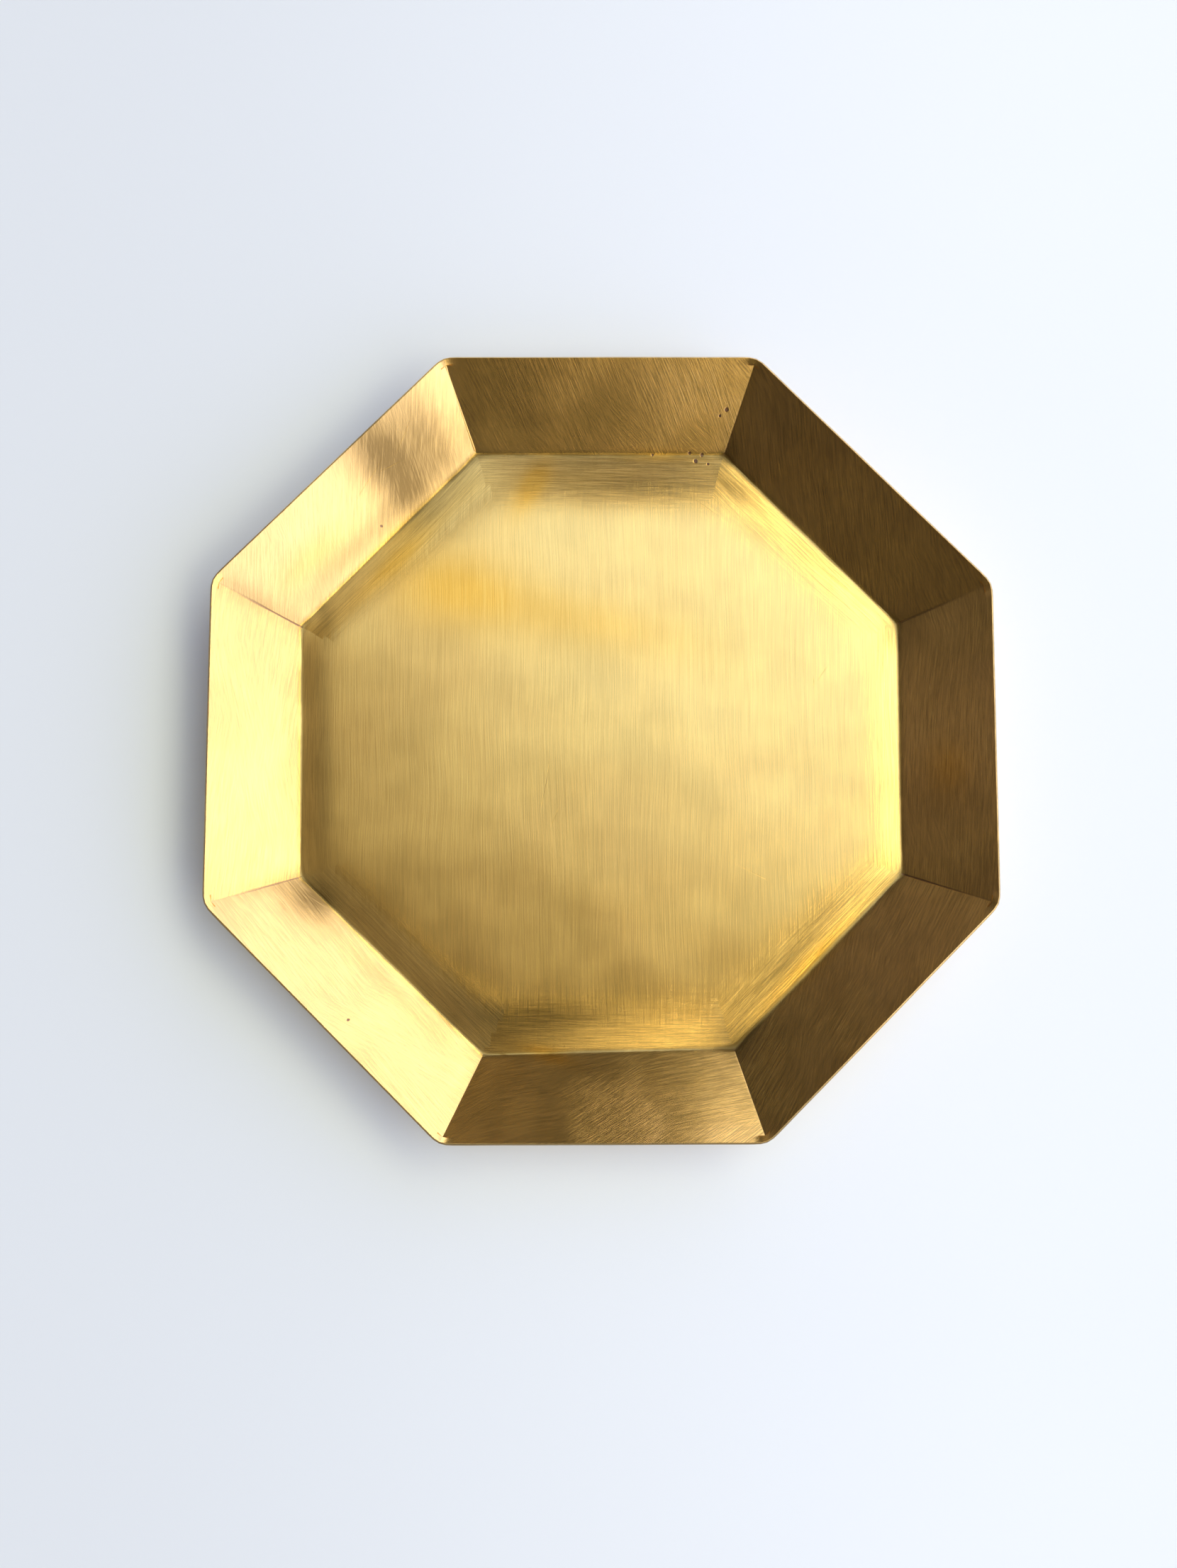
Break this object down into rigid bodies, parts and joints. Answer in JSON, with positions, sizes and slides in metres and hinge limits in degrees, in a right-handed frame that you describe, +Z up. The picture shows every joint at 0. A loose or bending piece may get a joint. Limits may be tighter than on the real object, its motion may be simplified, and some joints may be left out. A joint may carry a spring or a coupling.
{
  "type": "octagonal tray",
  "caption": "Octagonal hand-brushed brass tray: a slightly raised flat floor and shallow sloping sides folded up from one sheet, closed by brazed mitres.",
  "frame": {"origin": "centre of the tray on the plane it rests on", "axes": "+Z up out of the tray, +X and +Y through the middles of two flats of the octagon"},
  "size_m": [0.24, 0.24, 0.02],
  "materials": {
    "brushed_brass": "brushed by hand, satin, lightly worn",
    "braze": "filed flush, duller and redder than the sheet"
  },
  "bodies": {
    "root": {"tray_sheet": "brushed_brass", "mitre_seam_1": "braze", "mitre_seam_2": "braze", "mitre_seam_3": "braze", "mitre_seam_4": "braze", "mitre_seam_5": "braze", "mitre_seam_6": "braze", "mitre_seam_7": "braze", "mitre_seam_8": "braze"}
  },
  "joints": []
}
